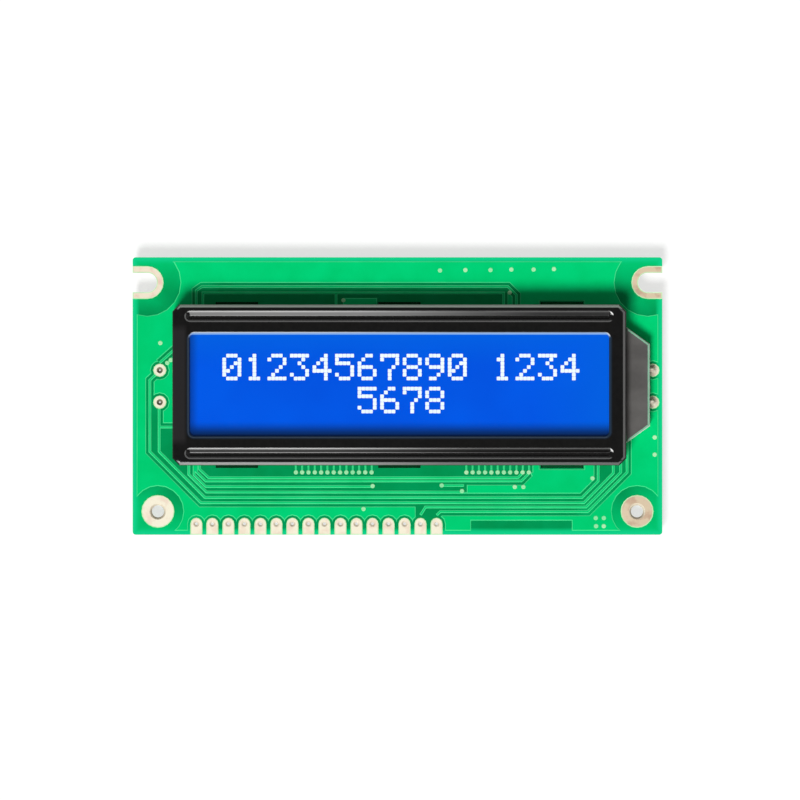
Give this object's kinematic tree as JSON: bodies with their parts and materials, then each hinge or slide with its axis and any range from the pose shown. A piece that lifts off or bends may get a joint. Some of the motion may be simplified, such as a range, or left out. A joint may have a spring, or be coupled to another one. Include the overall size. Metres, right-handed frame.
{
  "type": "character lcd module",
  "caption": "Character display: blue window in a black stamped bezel on a green circuit board with edge header pads, lower mounting holes and open upper corner slots.",
  "frame": {"origin": "under the middle of the circuit board, on the plane that the bezel's tabs stand on", "axes": "+X along the board's long edge, +Y from the header pads towards the corner slots, +Z out of the display"},
  "size_m": [0.084, 0.044, 0.0097],
  "materials": {
    "solder_mask": "smooth green lacquer over glass laminate",
    "mask_on_copper": "smooth green lacquer over copper",
    "plated_land": "bright plated copper",
    "bezel_paint": "glossy black paint on steel sheet",
    "polariser": "smooth blue film",
    "glass": "clear float glass",
    "contact_rubber": "layered rubber",
    "white_moulding": "white moulded plastic",
    "clear_moulding": "clear moulded plastic",
    "white_film": "matt white film",
    "dark_film": "dark grey film",
    "lamp_body": "lamp bodies with a pale yellow lens",
    "strip_board": "white lacquered laminate",
    "tin": "tinned metal",
    "seal_resin": "cured clear resin",
    "dome_resin": "glossy black resin",
    "resistor_body": "black glazed ceramic",
    "capacitor_body": "tan ceramic"
  },
  "bodies": {
    "root": {"circuit_board": "solder_mask", "front_copper": "mask_on_copper", "back_copper": "mask_on_copper", "header_pads": "plated_land", "mount_hole_plating": "plated_land", "corner_slot_plating": "plated_land", "lamp_pads": "plated_land", "bezel": "bezel_paint", "front_polariser": "polariser", "front_glass": "glass", "rear_glass": "glass", "rear_polariser": "polariser", "fill_port_plug": "seal_resin", "upper_contact_strip": "contact_rubber", "lower_contact_strip": "contact_rubber", "backlight_frame": "white_moulding", "reflector_film": "white_film", "light_guide": "clear_moulding", "diffuser_film": "white_film", "lamp_board": "strip_board", "lamps": "lamp_body", "tail_cover": "dark_film", "lamp_leads": "tin", "lamp_solder": "tin", "resin_domes": "dome_resin", "resistor_bodies": "resistor_body", "resistor_caps": "tin", "capacitor_bodies": "capacitor_body", "capacitor_caps": "tin"}
  },
  "joints": []
}
